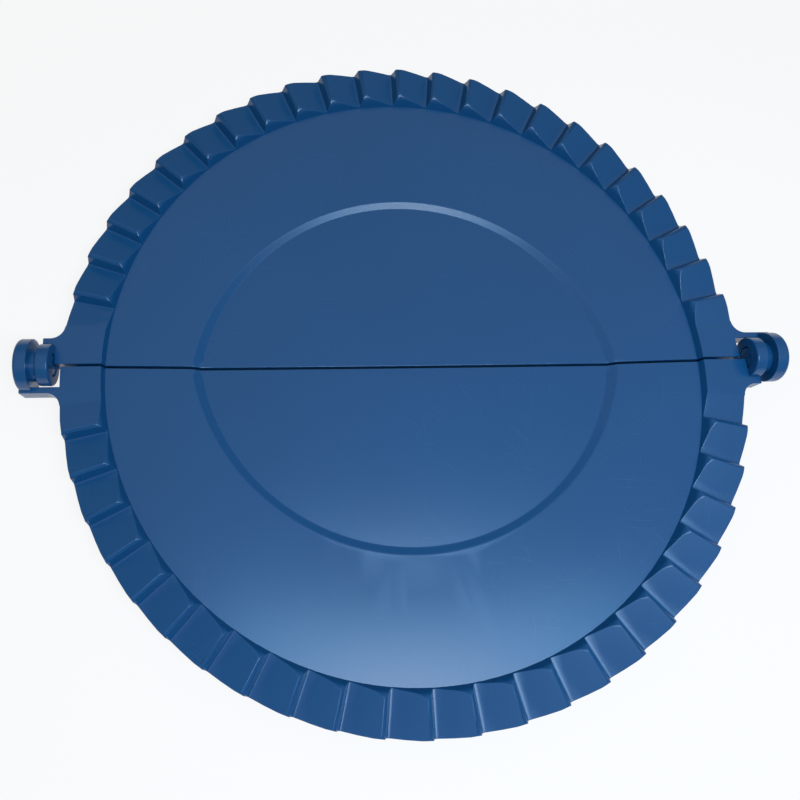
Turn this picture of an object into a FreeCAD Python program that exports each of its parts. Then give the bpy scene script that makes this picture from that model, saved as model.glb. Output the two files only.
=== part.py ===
import FreeCAD, Part
import math
import os
import Sketcher

# Empanada press, opened flat. Two equal plastic halves hook into each other at two hinges on one line.
# Millimetres. X runs along the hinge line, -Y is the front half, +Z is up.
# The origin lies under the middle of the hinge line, on the surface the press stands on.

doc = FreeCAD.newDocument("EmpanadaPress")
sheet = doc.addObject("Spreadsheet::Sheet", "Sizes")

DRIVING_SIZES = [
    # the dished plate of a half
    ("plate_radius", 109.0),        # foot of the toothed rim's inner wall
    ("plate_wall", 2.4),
    ("dish_flat_radius", 70.0),     # the dish falls from the rim to here, then runs level
    ("dish_fall", 2.8),
    # the ring-shaped step and the shallow floor inside it
    ("ring_radius", 79.1),          # upper edge of the step, about its own centre
    ("ring_offset", 11.7),          # that centre lies this far beyond the hinge line
    ("ring_step", 1.5),
    ("ring_slope", 2.4),            # width of the sloping step wall
    ("floor_fall", 0.4),
    ("floor_wall", 2.6),
    ("pan_margin", 1.4),            # the pan under the floor stands this much wider
    # the toothed rim
    ("rim_width", 15.0),            # from the plate's edge to the outer face
    ("rim_draft", 0.25),            # the outer wall leans in by this much at the ridges
    ("rim_foot", 3.4),              # height of the rim's lower edge above the table
    ("pad_rise", 2.9),              # sealing plane above the plate's edge
    ("tooth_height", 4.2),
    ("inner_lean", 1.4),            # the inner wall leans out by this much at the ridges
    ("inner_round", 2.0),           # the teeth round off towards the plate
    ("outer_round", 1.0),
    ("tooth_drops", 23),
    ("pad_angle", 6.7),             # flat pad beside each hinge, past the fillet of its lug
    ("lead_angle", 5.2),            # gentle ramp between a pad and the first tooth
    ("drop_angle", 0.8),            # the steep face of a tooth covers this much of the turn
    ("bevel_angle", 0.35),          # the ridge is broken by this much of the turn
    ("ridge_bevel", 0.8),           # and by this much in height
    ("land_angle", 0.1),            # narrow flat on each ridge
    # hollows that core the teeth from below
    ("skirt_wall", 2.2),
    ("core_wall", 2.0),
    ("inner_core_wall", 2.6),
    ("rib_angle", 1.0),
    # the hinges
    ("parting_gap", 0.9),           # gap between the halves along the hinge line
    ("closing_gap", 0.3),           # what is left between the sealing planes when shut
    ("eye_recess", 2.0),            # from the rim to the eye
    ("eye_radius", 7.4),
    ("eye_length", 4.5),
    ("groove", 2.1),                # from the eye to the boss
    ("boss_radius", 9.2),
    ("boss_length", 4.6),
    ("boss_round", 1.2),
    ("collar_radius", 5.8),
    ("collar_gap", 0.35),
    ("pin_radius", 4.0),
    ("pin_clearance", 0.06),
    ("pin_end_gap", 0.3),
    ("pin_chamfer", 0.6),
    ("edge_chamfer", 0.4),
    ("arm_gap", 0.4),               # between the eye and the arm that passes it
    ("arm_wall", 2.2),
    ("lug_fillet", 5.0),
    ("overrun", 3.0),               # how far a cut runs past what it cuts
]
ROUNDING_FLATS = 3


class Size:
    # A number together with the expression that ties it to the sheet.
    def __init__(self, value, text):
        self.value = value
        self.text = text

    @staticmethod
    def of(other):
        return other if isinstance(other, Size) else Size(other, repr(other))

    def __add__(self, other):
        other = Size.of(other)
        return Size(self.value + other.value, "(%s + %s)" % (self.text, other.text))

    def __sub__(self, other):
        other = Size.of(other)
        return Size(self.value - other.value, "(%s - %s)" % (self.text, other.text))

    def __mul__(self, other):
        other = Size.of(other)
        return Size(self.value * other.value, "(%s * %s)" % (self.text, other.text))

    def __truediv__(self, other):
        other = Size.of(other)
        return Size(self.value / other.value, "(%s / %s)" % (self.text, other.text))

    def __neg__(self):
        return Size(-self.value, "(0 - %s)" % self.text)

    def __radd__(self, other):
        return Size.of(other) + self

    def __rsub__(self, other):
        return Size.of(other) - self


def root(size):
    return Size(math.sqrt(size.value), "sqrt(%s)" % size.text)


def tangent(angle):
    return Size(math.tan(math.radians(angle.value)), "tan(%s)" % angle.text)


def cosine(angle):
    return Size(math.cos(math.radians(angle.value)), "cos(%s)" % angle.text)


for row, (alias, number) in enumerate(DRIVING_SIZES, 1):
    sheet.set("A%d" % row, alias)
    sheet.set("B%d" % row, str(number))
    sheet.setAlias("B%d" % row, alias)
doc.recompute()

size = {alias: Size(float(sheet.get(alias)), "Sizes." + alias) for alias, number in DRIVING_SIZES}
zero = Size(0.0, "0")

# Heights above the table
floorTop = size["floor_wall"]
floorEdge = floorTop + size["floor_fall"]
dishLow = floorEdge + size["ring_step"]
plateEdge = dishLow + size["dish_fall"]
sealPlane = plateEdge + size["pad_rise"]
ridge = sealPlane + size["tooth_height"] / 2
valley = sealPlane - size["tooth_height"] / 2
hingeAxis = sealPlane + size["closing_gap"] / 2
ridgeOver = ridge + size["overrun"]
footUnder = size["rim_foot"] - size["overrun"]

# Turn positions, measured from the half's first hinge
firstDrop = size["pad_angle"] + size["lead_angle"]
pitch = (180 - firstDrop * 2) / (size["tooth_drops"] - 1)
halfDrop = size["drop_angle"] / 2
bevelStart = halfDrop + size["bevel_angle"]
ridgeStart = bevelStart + size["land_angle"]
bevelEnd = size["drop_angle"] * size["ridge_bevel"] / size["tooth_height"] - halfDrop

# Places along the hinge line, counted from the middle
rimRadius = size["plate_radius"] + size["rim_width"]
eyeInner = rimRadius + size["eye_recess"]
eyeOuter = eyeInner + size["eye_length"]
bossInner = eyeOuter + size["groove"]
bossOuter = bossInner + size["boss_length"]
collarEnd = eyeOuter + size["collar_gap"]
pinEnd = eyeInner + size["pin_end_gap"]
armInner = size["eye_radius"] + size["arm_gap"]
armOuter = armInner + size["arm_wall"]
boreRadius = size["pin_radius"] + size["pin_clearance"]
halfGap = size["parting_gap"] / 2


def originFeature(body, role):
    return [f for f in body.Origin.OriginFeatures if f.Role == role][0]


def bind(thing, path, value):
    thing.setExpression(path, value.text)


def sketchOn(body, name, role, shift=(zero, zero, zero), turn=None):
    # A sketch on one of the body's origin planes, moved along the plane's own axes.
    sketch = body.newObject("Sketcher::SketchObject", name)
    sketch.AttachmentSupport = [(originFeature(body, role), "")]
    sketch.MapMode = "FlatFace"
    place = FreeCAD.Vector(*[part.value for part in shift])
    spin = FreeCAD.Rotation()
    if turn is not None:
        spin = FreeCAD.Rotation(FreeCAD.Vector(0, 1, 0), turn.value)
        place = spin.multVec(place)
    sketch.AttachmentOffset = FreeCAD.Placement(place, spin)
    if turn is None:
        for axis, part in zip("xyz", shift):
            bind(sketch, "AttachmentOffset.Base." + axis, part)
    return sketch


def outline(sketch, corners, arcs=None):
    # A closed outline. Each corner is tied to the sheet; arcs maps a corner's number to the
    # radius and centre of the arc that leaves it.
    arcs = arcs or {}
    count = len(corners)
    spots = [FreeCAD.Vector(x.value, y.value, 0) for x, y in corners]
    ends = []
    for i, spot in enumerate(spots):
        following = spots[(i + 1) % count]
        if i not in arcs:
            sketch.addGeometry(Part.LineSegment(spot, following), False)
            ends.append((1, 2))
            continue
        radius, (x, y) = arcs[i]
        centre = FreeCAD.Vector(x.value, y.value, 0)
        leftward = (spot - centre).cross(following - centre).z > 0
        begin, finish = (spot, following) if leftward else (following, spot)
        angles = [math.atan2(point.y - centre.y, point.x - centre.x) for point in (begin, finish)]
        circle = Part.Circle(centre, FreeCAD.Vector(0, 0, 1), radius.value)
        sketch.addGeometry(Part.ArcOfCircle(circle, angles[0], angles[1]), False)
        ends.append((1, 2) if leftward else (2, 1))
    for i in range(count):
        j = (i + 1) % count
        sketch.addConstraint(Sketcher.Constraint("Coincident", i, ends[i][1], j, ends[j][0]))
    for i, (x, y) in enumerate(corners):
        for kind, part, axis in (("DistanceX", x, -2), ("DistanceY", y, -1)):
            if part is zero:
                sketch.addConstraint(Sketcher.Constraint("PointOnObject", i, ends[i][0], axis))
                continue
            n = sketch.addConstraint(Sketcher.Constraint(kind, -1, 1, i, ends[i][0], part.value))
            bind(sketch, "Constraints[%d]" % n, part)
    for i, (radius, centre) in arcs.items():
        n = sketch.addConstraint(Sketcher.Constraint("Radius", i, radius.value))
        bind(sketch, "Constraints[%d]" % n, radius)


def revolve(body, name, kind, sketch, axis, angle=360.0, backwards=False):
    feature = body.newObject("PartDesign::" + kind, name)
    feature.Profile = sketch
    feature.ReferenceAxis = axis
    feature.Angle = angle
    feature.Reversed = backwards
    return feature


def roundedTop(wall, slope, rounding, side):
    # Rounds a top corner of the rim in a few flats, from the wall up to the ridge height.
    # The wall slopes away from the rim as it goes down; side is 1 on the plate's side of the rim.
    corners = []
    for step in range(ROUNDING_FLATS + 1):
        angle = math.pi / 2 * step / ROUNDING_FLATS
        drop = rounding * (1 - math.sin(angle))
        inset = rounding * (1 - math.cos(angle))
        corners.append((wall + (inset - slope * drop) * side, ridge - drop))
    return corners


def dishAndRim(body):
    # Half a turn of the plate with the rim as a solid ring up to the ridges.
    sketch = sketchOn(body, "dish_profile", "XZ_Plane")
    lean = size["plate_radius"] + size["inner_lean"]
    innerSlope = size["inner_lean"] / (ridge - plateEdge)
    outerSlope = size["rim_draft"] / (ridge - size["rim_foot"])
    innerTop = roundedTop(lean, innerSlope, size["inner_round"], 1)
    outerTop = roundedTop(rimRadius - size["rim_draft"], outerSlope, size["outer_round"], -1)
    outline(sketch, [
        (zero, dishLow),
        (size["dish_flat_radius"], dishLow),
        (size["plate_radius"], plateEdge),
        *innerTop,
        *reversed(outerTop),
        (rimRadius, size["rim_foot"]),
        (lean, size["rim_foot"]),
        (size["plate_radius"], plateEdge - size["plate_wall"]),
        (size["dish_flat_radius"], dishLow - size["plate_wall"]),
        (zero, dishLow - size["plate_wall"]),
    ])
    revolve(body, "dish_and_rim", "Revolution", sketch, (sketch, ["V_Axis"]), 180.0, True)


def floorPan(body):
    # The pan that the press stands on, round the ring's own centre.
    sketch = sketchOn(body, "pan_profile", "XZ_Plane", (zero, zero, -size["ring_offset"]))
    low = size["ring_radius"] - size["ring_slope"] + size["pan_margin"]
    outline(sketch, [
        (zero, zero),
        (low, zero),
        (low + size["ring_slope"], dishLow - size["plate_wall"] / 2),
        (zero, dishLow - size["plate_wall"] / 2),
    ])
    return revolve(body, "floor_pan", "Revolution", sketch, (sketch, ["V_Axis"]))


def hingeLineTrim(body):
    # Everything behind the hinge line goes, less half the parting gap.
    sketch = sketchOn(body, "trim_outline", "XY_Plane")
    reach = rimRadius + size["overrun"]
    outline(sketch, [(-reach, -halfGap), (reach, -halfGap), (reach, reach), (-reach, reach)])
    cut = body.newObject("PartDesign::Pocket", "hinge_line_trim")
    cut.Profile = sketch
    cut.Type = "ThroughAll"
    cut.Midplane = True
    return cut


def ringRecess(body):
    sketch = sketchOn(body, "recess_profile", "XZ_Plane", (zero, zero, -size["ring_offset"]))
    low = size["ring_radius"] - size["ring_slope"]
    rise = size["ring_step"]
    climb = size["overrun"]
    outline(sketch, [
        (zero, floorTop),
        (low, floorEdge),
        (low + size["ring_slope"] * (rise + climb) / rise, dishLow + climb),
        (zero, dishLow + climb),
    ])
    return revolve(body, "ring_recess", "Groove", sketch, (sketch, ["V_Axis"]))


def wedge(body, name, middle, near, far, corners):
    # A cut between two flat sections, square to the radius at the turn position "middle".
    # A corner is an angle from that radius and a height, so every side edge points at the centre.
    turn = middle - 90
    sections = []
    for label, distance in (("near", near), ("far", far)):
        sketch = sketchOn(body, "%s_%s" % (name, label), "XZ_Plane", (zero, zero, distance), turn)
        bind(sketch, "AttachmentOffset.Rotation.Angle", turn)
        bind(sketch, "AttachmentOffset.Base.x", distance * cosine(90 - turn))
        bind(sketch, "AttachmentOffset.Base.z", distance * cosine(turn))
        outline(sketch, [(distance * tangent(angle), height) for angle, height in corners])
        sections.append(sketch)
    cut = body.newObject("PartDesign::SubtractiveLoft", name)
    cut.Profile = sections[0]
    cut.Sections = sections[1:]
    cut.Ruled = True
    return cut


def turnedCopies(body, name, cut, count):
    doc.recompute()
    pattern = body.newObject("PartDesign::PolarPattern", name)
    pattern.Originals = [cut]
    pattern.Axis = (originFeature(body, "Z_Axis"), [""])
    bind(pattern, "Occurrences", count)
    bind(pattern, "Angle", pitch * (count - 1))
    body.Tip = pattern
    return pattern


def teeth(body):
    near = size["plate_radius"] - size["overrun"]
    far = rimRadius + size["overrun"]
    half = pitch / 2
    # one gap, from the steep face down to the valley and up the ramp to the next ridge
    gap = wedge(body, "tooth_gap", firstDrop + half, near, far, [
        (-half - bevelStart, ridgeOver),
        (-half - bevelStart, ridge),
        (bevelEnd - half, ridge - size["ridge_bevel"]),
        (halfDrop - half, valley),
        (ridgeStart - half, valley),
        (half - ridgeStart, ridge),
        (half - ridgeStart, ridgeOver),
    ])
    turnedCopies(body, "tooth_gaps", gap, size["tooth_drops"] - 1)
    # the pads beside the hinges, each with the gentle ramp that leads to it
    middle = firstDrop / 2
    wedge(body, "first_pad", middle, near, far, [
        (-firstDrop, ridgeOver),
        (-firstDrop, sealPlane),
        (size["pad_angle"] - middle, sealPlane),
        (middle - ridgeStart, ridge),
        (middle - ridgeStart, ridgeOver),
    ])
    wedge(body, "last_pad", 180 - middle, near, far, [
        (-middle - bevelStart, ridgeOver),
        (-middle - bevelStart, ridge),
        (bevelEnd - middle, ridge - size["ridge_bevel"]),
        (halfDrop - middle, valley),
        (ridgeStart - middle, valley),
        (middle - size["pad_angle"], sealPlane),
        (firstDrop, sealPlane),
        (firstDrop, ridgeOver),
    ])


def toothCores(body):
    # Hollows under the teeth keep the wall even; a rib stays under each steep face.
    near = size["plate_radius"] + size["inner_lean"] + size["inner_core_wall"]
    far = rimRadius - size["skirt_wall"]
    half = pitch / 2
    left = halfDrop - half
    right = half - halfDrop - size["rib_angle"]
    rise = size["tooth_height"] * (right - left) / (pitch - ridgeStart * 2)
    low = valley - size["core_wall"]
    core = wedge(body, "tooth_core", firstDrop - half, near, far, [
        (left, footUnder),
        (left, low),
        (right, low + rise),
        (right, footUnder),
    ])
    turnedCopies(body, "tooth_cores", core, size["tooth_drops"])


def lugBlock(body, name, sketch):
    block = body.newObject("PartDesign::Pad", name)
    block.Profile = sketch
    bind(block, "Length", sealPlane - size["rim_foot"])
    return block


def lugOutline(sketch, side, inner, outer, reach):
    # Seen from above: a straight lug with a concave fillet that runs into the rim.
    fillet = size["lug_fillet"]
    centreY = outer + fillet
    span = rimRadius + fillet
    centreX = root(span * span - centreY * centreY)
    share = rimRadius / span
    inside = rimRadius - size["skirt_wall"]
    corners = [
        (inside, inner),
        (reach, inner),
        (reach, outer),
        (centreX, outer),
        (centreX * share, centreY * share),
        (inside, centreY * share),
    ]
    placed = [(x if side > 0 else -x, -y) for x, y in corners]
    centre = (centreX if side > 0 else -centreX, -centreY)
    outline(sketch, placed, {3: (fillet, centre)})


def eyeAndWeb(body):
    sketch = sketchOn(body, "web_outline", "XY_Plane", (zero, zero, size["rim_foot"]))
    lugOutline(sketch, 1, halfGap, armOuter, eyeOuter)
    lugBlock(body, "eye_web", sketch)
    chamfer = size["edge_chamfer"]
    sketch = sketchOn(body, "eye_profile", "XZ_Plane", (zero, hingeAxis, zero))
    outline(sketch, [
        (eyeInner, boreRadius),
        (eyeOuter, boreRadius),
        (eyeOuter, size["eye_radius"] - chamfer),
        (eyeOuter - chamfer, size["eye_radius"]),
        (eyeInner + chamfer, size["eye_radius"]),
        (eyeInner, size["eye_radius"] - chamfer),
    ])
    revolve(body, "eye", "Revolution", sketch, (sketch, ["H_Axis"]))
    sketch = sketchOn(body, "bore_profile", "XZ_Plane", (zero, hingeAxis, zero))
    outline(sketch, [
        (eyeInner, zero),
        (eyeOuter + size["overrun"], zero),
        (eyeOuter + size["overrun"], boreRadius),
        (eyeInner, boreRadius),
    ])
    revolve(body, "eye_bore", "Groove", sketch, (sketch, ["H_Axis"]))


def armAndPin(body):
    sketch = sketchOn(body, "arm_outline", "XY_Plane", (zero, zero, size["rim_foot"]))
    lugOutline(sketch, -1, armInner, armOuter, bossOuter)
    lugBlock(body, "hinge_arm", sketch)
    sketch = sketchOn(body, "boss_profile", "XZ_Plane", (zero, hingeAxis, zero))
    rounding = size["boss_round"]
    chamfer = size["pin_chamfer"]
    outline(sketch, [
        (-bossOuter, zero),
        (-bossOuter, size["boss_radius"] - rounding),
        (-(bossOuter - rounding), size["boss_radius"]),
        (-bossInner, size["boss_radius"]),
        (-bossInner, size["collar_radius"]),
        (-collarEnd, size["collar_radius"]),
        (-collarEnd, size["pin_radius"]),
        (-(pinEnd + chamfer), size["pin_radius"]),
        (-pinEnd, size["pin_radius"] - chamfer),
        (-pinEnd, zero),
    ], {1: (rounding, (-(bossOuter - rounding), size["boss_radius"] - rounding))})
    revolve(body, "boss_and_pin", "Revolution", sketch, (sketch, ["H_Axis"]))


def pressHalf(label, turn):
    body = doc.addObject("PartDesign::Body", label)
    body.Label = label
    dishAndRim(body)
    floorPan(body)
    hingeLineTrim(body)
    ringRecess(body)
    teeth(body)
    toothCores(body)
    eyeAndWeb(body)
    armAndPin(body)
    body.Placement = FreeCAD.Placement(FreeCAD.Vector(), FreeCAD.Rotation(FreeCAD.Vector(0, 0, 1), turn))
    return body


halves = [pressHalf("front_half", 0.0), pressHalf("back_half", 180.0)]
doc.recompute()

for thing in doc.Objects:
    if "Invalid" in thing.State or "Error" in thing.State:
        raise RuntimeError("%s failed: %s" % (thing.Label, thing.State))
for body in halves:
    if body.Shape.isNull() or not body.Shape.isValid() or len(body.Shape.Solids) != 1:
        raise RuntimeError(body.Label + " isn't one valid solid")

os.makedirs("parts", exist_ok=True)
for body in halves:
    body.Shape.exportStep("parts/%s.step" % body.Label)
    box = body.Shape.BoundBox
    print(body.Label, "volume", round(body.Shape.Volume), "box", round(box.XMin, 2), round(box.XMax, 2),
          round(box.YMin, 2), round(box.YMax, 2), round(box.ZMin, 2), round(box.ZMax, 2))
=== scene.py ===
import math

import bmesh
import bpy
from mathutils import Matrix


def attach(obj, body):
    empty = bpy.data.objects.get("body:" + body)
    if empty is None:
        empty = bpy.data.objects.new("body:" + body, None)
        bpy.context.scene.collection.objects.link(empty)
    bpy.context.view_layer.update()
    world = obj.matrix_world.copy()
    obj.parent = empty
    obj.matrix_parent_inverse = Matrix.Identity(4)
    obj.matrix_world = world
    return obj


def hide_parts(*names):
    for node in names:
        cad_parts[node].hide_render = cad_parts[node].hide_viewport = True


# Empanada press, opened flat: two toothed plastic halves that hook into each other.
# Metres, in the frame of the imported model.
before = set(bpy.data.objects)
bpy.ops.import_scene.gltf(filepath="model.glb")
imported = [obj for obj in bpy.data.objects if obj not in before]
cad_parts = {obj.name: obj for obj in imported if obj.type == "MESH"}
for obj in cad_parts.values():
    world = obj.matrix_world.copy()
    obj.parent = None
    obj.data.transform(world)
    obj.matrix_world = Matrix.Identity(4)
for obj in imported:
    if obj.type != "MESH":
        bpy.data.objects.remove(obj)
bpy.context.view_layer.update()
scene = bpy.context.scene
scene.view_settings.view_transform = "Standard"
mm = 0.001


def linearColour(hexText):
    # sRGB hex to the linear values that a shader takes
    channels = [int(hexText[i:i + 2], 16) / 255 for i in (1, 3, 5)]
    return tuple(c / 12.92 if c <= 0.04045 else ((c + 0.055) / 1.055) ** 2.4 for c in channels) + (1.0,)


def addNode(tree, kind, settings=None, **inputs):
    # settings are the node's own; an input is a value or another node's output, and _6 is input 6
    node = tree.nodes.new(kind)
    for name, value in (settings or {}).items():
        setattr(node, name, value)
    for name, value in inputs.items():
        key = int(name[1:]) if name[0] == "_" else name.replace("_", " ")
        if isinstance(value, bpy.types.NodeSocket):
            tree.links.new(value, node.inputs[key])
        else:
            node.inputs[key].default_value = value
    return node


# The camera hangs over the front half, turned a little on its own axis.
photoCamera = {
    "place": (-44.7 * mm, -74.4 * mm, 262.0 * mm),
    "yaw": -14.11,
    "tilt": 17.21,
    "roll": 12.88,
    "focalPixels": 733.7,
    "middlePixels": (340.4, 358.7),
    "photoPixels": 800,
    "sensor": 36,
}


def makeCamera(view):
    lens = bpy.data.cameras.new("photoCamera")
    lens.sensor_width = view["sensor"]
    lens.lens = view["focalPixels"] / view["photoPixels"] * view["sensor"]
    lens.shift_x = 0.5 - view["middlePixels"][0] / view["photoPixels"]
    lens.shift_y = view["middlePixels"][1] / view["photoPixels"] - 0.5
    camera = bpy.data.objects.new("photoCamera", lens)
    scene.collection.objects.link(camera)
    yaw, tilt, roll = (Matrix.Rotation(math.radians(view[name]), 4, axis)
                       for name, axis in (("yaw", "Z"), ("tilt", "X"), ("roll", "Z")))
    camera.matrix_world = Matrix.Translation(view["place"]) @ yaw @ tilt @ roll
    scene.camera = camera


makeCamera(photoCamera)
print("camera placed")

# All three lamps shine straight down. A wide warm one hangs above. Daylight falls on the front
# half from close by, so that it is lit better than the back half, and a small bulb in the same
# place leaves a sheen near the front edge.
lamps = {
    "ceiling": {"place": (0.1, 0.15, 1.3), "size": (2.2, 2.2), "watts": 5.1, "colour": "#ffeec9"},
    "daylight": {"place": (0.07, -0.14, 0.4), "size": (0.28, 0.18), "watts": 1.22, "colour": "#8cceff"},
    "bulb": {"place": (0.055, -0.145, 0.4), "size": (0.13, 0.05), "watts": 0.42, "colour": "#ffe2c0"},
}
worldLight = {"colour": "#ffffff", "strength": 0.23}


def makeLamps():
    for name, lamp in lamps.items():
        light = bpy.data.lights.new(name, "AREA")
        light.shape = "RECTANGLE"
        light.size, light.size_y = lamp["size"]
        light.energy = lamp["watts"]
        light.color = linearColour(lamp["colour"])[:3]
        holder = bpy.data.objects.new(name, light)
        holder.location = lamp["place"]
        holder.visible_camera = False   # no view from above shows the lamps themselves
        scene.collection.objects.link(holder)


def makeWorld():
    world = bpy.data.worlds.new("softSky")
    scene.world = world
    world.use_nodes = True
    sky = world.node_tree.nodes["Background"]
    sky.inputs["Color"].default_value = linearColour(worldLight["colour"])
    sky.inputs["Strength"].default_value = worldLight["strength"]


makeLamps()
makeWorld()
print("lamps placed")

floorLook = {
    "side": 6.0,
    "colour": "#f4f5f6",
    "roughness": 0.9,
    "glow": 0.85,                    # share of plain white that the eye and reflections see
    "paintedShadeUnderGap": "#15191f",           # painted shade: dark colour of the strip under the gap between the halves
    "paintedShadeStrip": (127 * mm, 4.5 * mm),   # its half length and half width
    "paintedShadeStripEdge": 0.95,               # share of it that is quite dark
}


def paintedShadeMask(tree):
    # 0 on the painted shade strip under the gap, 1 on the rest of the floor
    place = addNode(tree, "ShaderNodeTexCoord").outputs["Object"]
    length, width = floorLook["paintedShadeStrip"]
    scaled = addNode(tree, "ShaderNodeVectorMath", {"operation": "MULTIPLY"}, _0=place,
                     _1=(1 / length, 1 / width, 0))
    folded = addNode(tree, "ShaderNodeVectorMath", {"operation": "ABSOLUTE"}, _0=scaled.outputs[0])
    parts = addNode(tree, "ShaderNodeSeparateXYZ", _0=folded.outputs[0])
    reach = addNode(tree, "ShaderNodeMath", {"operation": "MAXIMUM"}, _0=parts.outputs["X"],
                    _1=parts.outputs["Y"])
    return addNode(tree, "ShaderNodeMapRange", Value=reach.outputs[0],
                   From_Min=floorLook["paintedShadeStripEdge"]).outputs[0]


def makeFloorPaint():
    # The floor is a shade whiter to the eye and in reflections than its light alone makes it. It
    # keeps the press's shadow, and lights the press no more for it. A narrow strip of it under the gap
    # between the halves is painted dark and gets no white glow: a painted shade like the inside of the
    # press.
    paint = bpy.data.materials.new("floorPaint")
    paint.use_nodes = True
    tree = paint.node_tree
    shader = tree.nodes["Principled BSDF"]
    shader.inputs["Roughness"].default_value = floorLook["roughness"]
    outsidePaintedShade = paintedShadeMask(tree)
    # painted shade: the strip under the gap takes a dark colour instead of the floor's
    floorColourWithPaintedShade = addNode(tree, "ShaderNodeMix", {"data_type": "RGBA"}, Factor=outsidePaintedShade,
                          _6=linearColour(floorLook["paintedShadeUnderGap"]), _7=linearColour(floorLook["colour"]))
    tree.links.new(floorColourWithPaintedShade.outputs[2], shader.inputs["Base Color"])
    ray = addNode(tree, "ShaderNodeLightPath")
    seen = addNode(tree, "ShaderNodeMath", {"operation": "MAXIMUM"}, _0=ray.outputs["Is Camera Ray"],
                   _1=ray.outputs["Is Glossy Ray"])
    seenOrThrough = addNode(tree, "ShaderNodeMath", {"operation": "MAXIMUM"}, _0=seen.outputs[0],
                            _1=ray.outputs["Is Transmission Ray"])
    glow = addNode(tree, "ShaderNodeMath", {"operation": "MULTIPLY"}, _0=outsidePaintedShade, _1=floorLook["glow"])
    share = addNode(tree, "ShaderNodeMath", {"operation": "MULTIPLY"}, _0=seenOrThrough.outputs[0],
                    _1=glow.outputs[0])
    white = addNode(tree, "ShaderNodeEmission", Strength=1.0)
    mixed = addNode(tree, "ShaderNodeMixShader", _0=share.outputs[0], _1=shader.outputs[0],
                    _2=white.outputs[0])
    tree.links.new(mixed.outputs[0], tree.nodes["Material Output"].inputs["Surface"])
    return paint


def makeFloor():
    bm = bmesh.new()
    bmesh.ops.create_grid(bm, x_segments=1, y_segments=1, size=floorLook["side"] / 2)
    mesh = bpy.data.meshes.new("floor")
    bm.to_mesh(mesh)
    bm.free()
    mesh.materials.append(makeFloorPaint())
    floor = bpy.data.objects.new("floor", mesh)
    scene.collection.objects.link(floor)


makeFloor()
print("floor laid")

# Blue polypropylene, injection moulded and used: an even dye, a satin skin that still gives a
# broad sheen, and here and there fine scuffs from scrapers and washing.
polypropylene = {
    "dye": "#105488",
    "dyeDeep": "#0e4e7f",
    "worn": "#5585b8",
    "ior": 1.49,
    "roughness": (0.22, 0.27),
    "cloudLength": 70 * mm,      # slow drift of the dye
    "cloudDetail": 3.0,
    "skinLength": 1.2 * mm,      # moulded skin, drawn coarser than the real one so that it shows
    "skinDepth": 0.012 * mm,
    "skinDetail": 2.0,
    "scuffLength": 19 * mm,
    "scuffWidth": 0.36 * mm,     # real ones are a fifth of this, too fine to show
    "scuffDepth": 0.003 * mm,
    "scuffDetail": 1.0,
    "scuffFrom": (0.69, 0.77),   # the noise above which a streak shows
    "scuffTurns": (8, 47, 95, 139),
    "scuffShift": (3.7, 1.85),   # metres from one direction's place in the noise to the next
    "scuffShare": 0.035,         # how much a scuff pales the dye
    "scuffRough": 0.05,
    "bendLength": 22 * mm,
    "bend": 9 * mm,              # how far a streak may swerve
    "patchLength": 30 * mm,      # scuffs come in patches
    "patchFrom": (0.5, 0.62),
}


def softStep(tree, value, span):
    return addNode(tree, "ShaderNodeMapRange", {"interpolation_type": "SMOOTHSTEP"}, Value=value,
                   From_Min=span[0], From_Max=span[1]).outputs[0]


def scuffLayer(tree, place, turn, number):
    # Long thin streaks in one direction, broken up so that each stops somewhere.
    look = polypropylene
    shiftX, shiftY = look["scuffShift"]
    turned = addNode(tree, "ShaderNodeMapping", Vector=place, Rotation=(0, 0, math.radians(turn)),
                     Location=(number * shiftX, number * shiftY, 0))
    drawn = addNode(tree, "ShaderNodeVectorMath", {"operation": "MULTIPLY"}, _0=turned.outputs[0],
                    _1=(1 / look["scuffLength"], 1 / look["scuffWidth"], 1 / look["scuffLength"]))
    streaks = addNode(tree, "ShaderNodeTexNoise", Vector=drawn.outputs[0], Scale=1.0,
                      Detail=look["scuffDetail"])
    return softStep(tree, streaks.outputs[0], look["scuffFrom"])


def scuffPattern(tree, place):
    # Streaks in every direction of the list, bent a little, and only inside the patches.
    look = polypropylene
    patches = addNode(tree, "ShaderNodeTexNoise", Vector=place, Scale=1 / look["patchLength"])
    swerve = addNode(tree, "ShaderNodeTexNoise", Vector=place, Scale=1 / look["bendLength"], Detail=0.0)
    bent = addNode(tree, "ShaderNodeVectorMath", {"operation": "MULTIPLY_ADD"},
                   _0=swerve.outputs["Color"], _1=(look["bend"], look["bend"], 0), _2=place)
    scuffs, *others = [scuffLayer(tree, bent.outputs[0], turn, number)
                       for number, turn in enumerate(look["scuffTurns"])]
    for layer in others:
        scuffs = addNode(tree, "ShaderNodeMath", {"operation": "MAXIMUM"}, _0=scuffs, _1=layer).outputs[0]
    patchy = addNode(tree, "ShaderNodeMath", {"operation": "MULTIPLY"}, _0=scuffs,
                     _1=softStep(tree, patches.outputs[0], look["patchFrom"]))
    return patchy.outputs[0]


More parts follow.
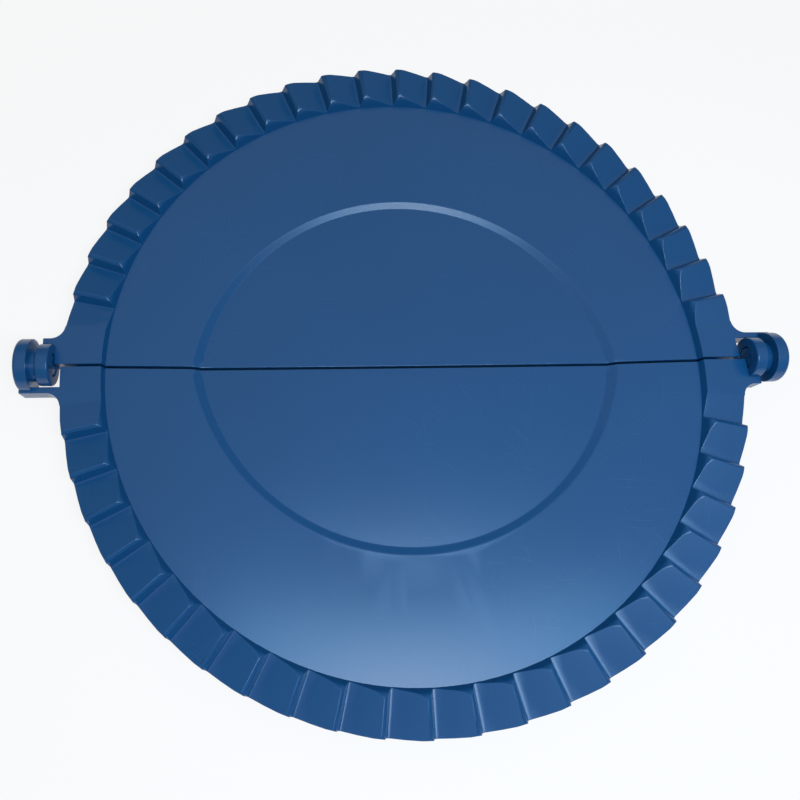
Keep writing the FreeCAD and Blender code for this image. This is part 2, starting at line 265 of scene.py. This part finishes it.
def makePolypropylene():
    look = polypropylene
    material = bpy.data.materials.new("bluePolypropylene")
    material.use_nodes = True
    tree = material.node_tree
    shader = tree.nodes["Principled BSDF"]
    shader.inputs["IOR"].default_value = look["ior"]
    place = addNode(tree, "ShaderNodeTexCoord").outputs["Object"]
    clouds = addNode(tree, "ShaderNodeTexNoise", Vector=place, Scale=1 / look["cloudLength"],
                     Detail=look["cloudDetail"])
    skin = addNode(tree, "ShaderNodeTexNoise", Vector=place, Scale=1 / look["skinLength"],
                   Detail=look["skinDetail"])
    scuffs = scuffPattern(tree, place)

    dye = addNode(tree, "ShaderNodeMix", {"data_type": "RGBA"}, Factor=clouds.outputs[0],
                  _6=linearColour(look["dyeDeep"]), _7=linearColour(look["dye"]))
    paleShare = addNode(tree, "ShaderNodeMath", {"operation": "MULTIPLY"}, _0=scuffs,
                        _1=look["scuffShare"])
    scuffed = addNode(tree, "ShaderNodeMix", {"data_type": "RGBA"}, Factor=paleShare.outputs[0],
                      _6=dye.outputs[2], _7=linearColour(look["worn"]))
    tree.links.new(scuffed.outputs[2], shader.inputs["Base Color"])

    satin = addNode(tree, "ShaderNodeMapRange", Value=clouds.outputs[0], To_Min=look["roughness"][0],
                    To_Max=look["roughness"][1])
    rough = addNode(tree, "ShaderNodeMath", {"operation": "MULTIPLY_ADD"}, _0=scuffs,
                    _1=look["scuffRough"], _2=satin.outputs[0])
    tree.links.new(rough.outputs[0], shader.inputs["Roughness"])

    skinBump = addNode(tree, "ShaderNodeBump", Height=skin.outputs[0], Distance=look["skinDepth"])
    scuffBump = addNode(tree, "ShaderNodeBump", {"invert": True}, Height=scuffs,
                        Distance=look["scuffDepth"], Normal=skinBump.outputs[0])
    tree.links.new(scuffBump.outputs[0], shader.inputs["Normal"])
    return material


pressPlastic = makePolypropylene()
print("plastic mixed")

# Each half is a copy of the moulded form. Its sharp outward edges are broken, as a mould leaves
# them, and the ring-shaped step in the dish gets a wider rounding at its top and its foot.
halves = {
    "front_half": "front",
    "back_half": "back",
}
edges = {
    "weld": 0.06 * mm,
    "flat": math.radians(0.015),       # faces closer than this become one
    "sharp": math.radians(34),
    "sharpRound": {"offset": 0.22 * mm, "segments": 2},
    "shortest": 0.45 * mm,             # shorter edges stay as they are
    "step": (math.radians(15), math.radians(50)),
    "stepTopRound": {"offset": 0.38 * mm, "segments": 3},
    "stepFootRound": {"offset": 0.25 * mm, "segments": 2},
    "stepReach": 100 * mm,             # the step lies inside this radius
    "stepEnd": 0.75 * mm,              # and its rounding stops this far from the hinge line
    "upward": 0.5,                     # its faces look up at least this much
    "smooth": math.radians(32),
}


def turnOf(edge):
    return edge.calc_face_angle() if edge.is_manifold else 0


def looksUp(edge):
    return all(face.normal.z > edges["upward"] for face in edge.link_faces)


def isInDish(edge):
    return all(v.co.xy.length < edges["stepReach"] and abs(v.co.y) > edges["stepEnd"] for v in edge.verts)


def sharpEdges(bm):
    return [e for e in bm.edges if turnOf(e) > edges["sharp"] and e.is_convex
            and e.calc_length() > edges["shortest"]]


def stepEdges(bm, convex):
    low, high = edges["step"]
    return [e for e in bm.edges if low < turnOf(e) < high and e.is_convex == convex
            and looksUp(e) and isInDish(e)]


def roundOff(bm, picked, offset, segments):
    bmesh.ops.bevel(bm, geom=picked, offset=offset, segments=segments, profile=0.5,
                    affect="EDGES", material=-1, clamp_overlap=False)


def mouldedHalf(nodeName, body):
    bm = bmesh.new()
    bm.from_mesh(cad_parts[nodeName].data)
    bmesh.ops.remove_doubles(bm, verts=bm.verts, dist=edges["weld"])
    bmesh.ops.dissolve_limit(bm, angle_limit=edges["flat"], verts=bm.verts, edges=bm.edges)
    roundOff(bm, sharpEdges(bm), **edges["sharpRound"])
    roundOff(bm, stepEdges(bm, True), **edges["stepTopRound"])
    roundOff(bm, stepEdges(bm, False), **edges["stepFootRound"])
    bmesh.ops.recalc_face_normals(bm, faces=bm.faces)
    for face in bm.faces:
        face.smooth = True
    for edge in bm.edges:
        edge.smooth = turnOf(edge) < edges["smooth"]
    mesh = bpy.data.meshes.new(nodeName + "Moulded")
    bm.to_mesh(mesh)
    bm.free()
    mesh.materials.append(pressPlastic)
    piece = bpy.data.objects.new(nodeName + "Moulded", mesh)
    scene.collection.objects.link(piece)
    weighted = piece.modifiers.new("largeFacesStayFlat", "WEIGHTED_NORMAL")
    weighted.keep_sharp = True
    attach(piece, body)
    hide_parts(nodeName)
    print(nodeName, "moulded with", len(mesh.polygons), "faces")


for nodeName, body in halves.items():
    mouldedHalf(nodeName, body)
